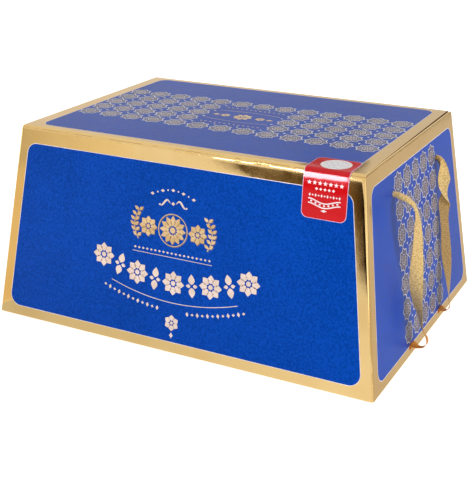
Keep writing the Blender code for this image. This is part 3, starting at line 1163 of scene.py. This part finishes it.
def mirrored(place, distance, u, v, tilt=0.0):
    """The point that the photograph's camera sees reflected at (u, v) of a panel, that far from it.

    u and v are in millimetres. tilt turns the panel's normal upwards, as its top fold does."""
    spot = place @ Vector((u * MM, v * MM, 0))
    turn = radians(tilt)
    normal = place.col[2].to_3d() * cos(turn) + place.col[1].to_3d() * sin(turn)
    sight = (spot - scene.camera.matrix_world.translation).normalized()
    return spot + sight.reflect(normal) * distance


def rectangle(left, right, low, high):
    """Corners of a rectangle, counter-clockwise from the low left one."""
    return ((left, low), (right, low), (right, high), (left, high))


def card_material(name, glow, tint, softness):
    made = Nodes(name, (0, 0, 0), 1.0)
    u, v, _ = made.axes(made.uv("card"))
    left, right, low, high = softness
    cover = made.times(made.span(u, 0.0, left), made.span(u, 1.0, 1.0 - right),
                       made.span(v, 0.0, low), made.span(v, 1.0, 1.0 - high))
    shine = made.add("Emission", {"Color": (*tint, 1), "Strength": made.span(u, 0.0, 1.0, *glow)})
    clear = made.add("BsdfTransparent")
    blend = made.add("MixShader", {0: cover, 1: clear.outputs[0], 2: shine.outputs[0]})
    made.set(made.tree.nodes["Material Output"], {"Surface": blend.outputs[0]})
    return made.material


def add_card(name, corners, glow, tint, softness):
    """A card that shows only in reflections.

    Its glow goes from the first to the second brightness along it, and it fades out
    within softness of its left, right, low and high edges."""
    bm = bmesh.new()
    uv = bm.loops.layers.uv.new("card")
    rows = []
    for j in range(CARD_STEPS + 1):
        start = corners[0].lerp(corners[3], j / CARD_STEPS)
        end = corners[1].lerp(corners[2], j / CARD_STEPS)
        rows.append([bm.verts.new(start.lerp(end, i / CARD_STEPS)) for i in range(CARD_STEPS + 1)])
    for j in range(CARD_STEPS):
        for i in range(CARD_STEPS):
            spots = rectangle(i, i + 1, j, j + 1)
            face = bm.faces.new([rows[y][x] for x, y in spots])
            for loop, (x, y) in zip(face.loops, spots):
                loop[uv].uv = (x / CARD_STEPS, y / CARD_STEPS)
    stage_for(finish_mesh(name, bm, [card_material(name, glow, tint, softness)]), "glossy")


def make_cards():
    """What the foil reflects: pale walls and table, a bright window, and dark gaps.

    A card has its corners in millimetres on the panel that mirrors it and its distance from
    there, or corners in metres on the table; then its glow, tint and softness."""
    warm = (1.0, 0.95, 0.86)
    cool = (1.0, 1.02, 1.10)
    white = (1.0, 1.0, 1.0)
    brown = (1.0, 0.60, 0.25)
    hard = (0.04, 0.04, 0.04, 0.04)
    soft = (0.1, 0.1, 0.1, 0.1)
    window = ((30, 172, 4.5), (106, 172, 4.5), (106, 172, 11), (30, 172, 11))
    label_window = ((106, 172, 1.5), (145, 172, 3), (145, 172, 11), (106, 172, 11))
    wedge = ((84, 154), (172, 138), (172, 174), (24, 170))
    streak = ((160, 88), (166, 82), (153, 170), (141, 170))
    edge = ((166, 82), (250, 76), (250, 170), (153, 170))
    cards = (
        ("left_table_card", None, 0, rectangle(-1.4, -0.2, -1.3, FRONT_CARD_Y),
         (0.86, 0.86), (1.0, 0.88, 0.68), (0.01, 0.001, 0.01, 0.001)),
        ("front_table_card", None, 0, rectangle(-0.2, 0.35, -1.3, FRONT_CARD_Y),
         (0.70, 1.10), cool, (0.001, 0.01, 0.01, 0.001)),
        ("end_table_card", None, 0, rectangle(END_CARD_X, 1.6, -0.6, 1.6),
         (0.66, 0.46), (1.0, 0.93, 0.86), (0.001, 0.01, 0.01, 0.01)),
        ("left_card", FRONT, WALL_DISTANCE, rectangle(-260, -40, 60, 420),
         (0.46, 0.92), warm, (0.1, 0.001, 0.1, 0.1)),
        ("front_card", FRONT, WALL_DISTANCE, rectangle(-40, 200, 60, 420),
         (0.92, 1.12), cool, (0.001, 0.1, 0.1, 0.1)),
        ("end_card", RIGHT_END, END_WALL_DISTANCE, rectangle(-400, 400, 60, 420), (0.44, 0.50), warm, soft),
        ("back_card", TOP, BACK_WALL_DISTANCE, rectangle(-300, 260, -260, 260),
         (0.80, 0.62), (1.0, 0.97, 0.96), soft),
        ("window_card", FRONT, WINDOW_DISTANCE, window, (8.0, 10.0), white, (0.05, 0.001, 0.1, 0.1)),
        ("label_card", FRONT, WINDOW_DISTANCE, label_window, (38.0, 38.0), white, (0.001, 0.05, 0.1, 0.1)),
        ("wedge_card", FRONT, WEDGE_DISTANCE, wedge, (0.10, 0.07), brown, hard),
        ("streak_card", FRONT, EDGE_DISTANCE, streak, (0.22, 0.05), brown, (0.2, 0.001, 0.30, 0.04)),
        ("edge_card", FRONT, EDGE_DISTANCE, edge, (0.02, 0.0), brown, (0.001, 0.04, 0.30, 0.04)),
        ("shade_card", TOP, SHADE_DISTANCE, rectangle(104, 149, -125, -74), (0.10, 0.10), warm, hard),
    )
    for name, panel, distance, corners, *look in cards:
        if panel:
            corners = [mirrored(panel, distance, *corner) for corner in corners]
        else:
            corners = [Vector((x, y, CARD_LIFT)) for x, y in corners]
        add_card(name, corners, *look)


def glowing(name, color, roughness, strength):
    """A material that glows white by itself."""
    made = Nodes(name, color, roughness)
    made.shade({"Emission Color": (1, 1, 1, 1), "Emission Strength": strength})
    return made


def make_floor_and_dome():
    """A pale floor, and a white dome beyond it that lights nothing and shows in no reflection."""
    bm = bmesh.new()
    bmesh.ops.create_circle(bm, cap_ends=True, segments=96, radius=STUDIO_RADIUS)
    pale = glowing("pale_floor", (0.90, 0.90, 0.90), 0.7, FLOOR_GLOW)
    pale.shade({"Specular IOR Level": 0.1})
    finish_mesh("floor", bm, [pale.material])
    white = glowing("white_backdrop", (0, 0, 0), 1.0, 1.0)
    bm = bmesh.new()
    bmesh.ops.create_icosphere(bm, subdivisions=5, radius=STUDIO_RADIUS)
    stage_for(finish_mesh("backdrop", bm, [white.material]), "camera")


def make_studio():
    world = bpy.data.worlds.new("studio")
    world.use_nodes = True
    background = world.node_tree.nodes["Background"]
    background.inputs["Color"].default_value = (1, 1, 1, 1)
    background.inputs["Strength"].default_value = WORLD_GLOW
    scene.world = world
    make_floor_and_dome()
    make_cards()
    add_area_light("front_light", (0.5, -1.8, 0.7), (0, 0, 0.05), (0.9, 0.7), 11)
    add_area_light("right_light", (1.6, 0.5, 0.7), (0, 0, 0.1), (0.5, 0.5), 14)
    view = scene.view_settings
    view.view_transform = "Standard"
    view.look = "None"


def main():
    add_camera()
    # Each ribbon's two faces are a lit copy and a darker copy of one material; the darker face is painted
    # shade
    bright = ribbon_material("gold_ribbon", (0.58, 0.35, 0.10), (0.96, 0.72, 0.33))
    shaded_face = ribbon_material("gold_ribbon_painted_shade", (0.30, 0.165, 0.050), (0.56, 0.37, 0.15))
    make_ribbon("ribbon_front", FRONT_RIBBON_ROUTE, bright, shaded_face)
    make_ribbon("ribbon_back", BACK_RIBBON_ROUTE, shaded_face, bright)

    board = plain_material("board", (0.13, 0.060, 0.024), (0.18, 0.09, 0.035), 0.7)
    rim = ink_material("rim_line", (0.66, 0.56, 0.52), (0.80, 0.70, 0.66), 0.4, 0.3)
    keep(make_board(foil_material(), board), "foil_board", "carton")
    make_fields(blue_material(), rim)

    pale = ink_material("pale_line", (0.68, 0.63, 0.59), (0.87, 0.81, 0.76), 0.4, 0.2)
    beige = ink_material("tan_fill", (0.37, 0.29, 0.22), (0.50, 0.40, 0.31), 0.4, 0.2)
    slate = ground_material("slate_ground", (0.030, 0.042, 0.130), (0.050, 0.060, 0.160))
    # The ends' star inks are darker copies of the top's three; the difference is painted shade on the end
    # panels
    shaded_end_line = ink_material("end_line_painted_shade", (0.52, 0.475, 0.46), (0.66, 0.61, 0.59), 0.4, 0.2)
    brown = ink_material("end_fill_painted_shade", (0.26, 0.195, 0.145), (0.36, 0.28, 0.21), 0.4, 0.2)
    shaded_end_ground = ground_material("end_ground_painted_shade", (0.022, 0.028, 0.100), (0.036, 0.042, 0.125))
    make_patterns((slate, pale, beige), (shaded_end_ground, shaded_end_line, brown))

    gold = ink_material("gold_line", (0.74, 0.50, 0.24), (0.90, 0.66, 0.38), 0.3, 0.9)
    # The cream ink is the gold foil coloured the way it looks when it reflects the bright floor: a painted
    # reflection
    cream_reflection = ink_material("cream_painted_reflection_line", (0.74, 0.58, 0.48), (0.84, 0.67, 0.57), 0.35, 0.5)
    shade = ink_material("shade_line", (0.10, 0.08, 0.12), (0.14, 0.11, 0.15), 0.5, 0.2)
    make_front_print("front", FRONT, gold, cream_reflection, shade)
    make_front_print("back", BACK, gold, cream_reflection, shade)
    make_top_print(gold)

    white = plain_material("white_ink", (0.62, 0.52, 0.53), (0.74, 0.64, 0.65), 0.4)
    paper = plain_material("label_paper", (0.52, 0.34, 0.50), (0.62, 0.44, 0.60), 0.5)
    make_label(red_material(), white, silver_material(), rim, paper)
    make_studio()


main()
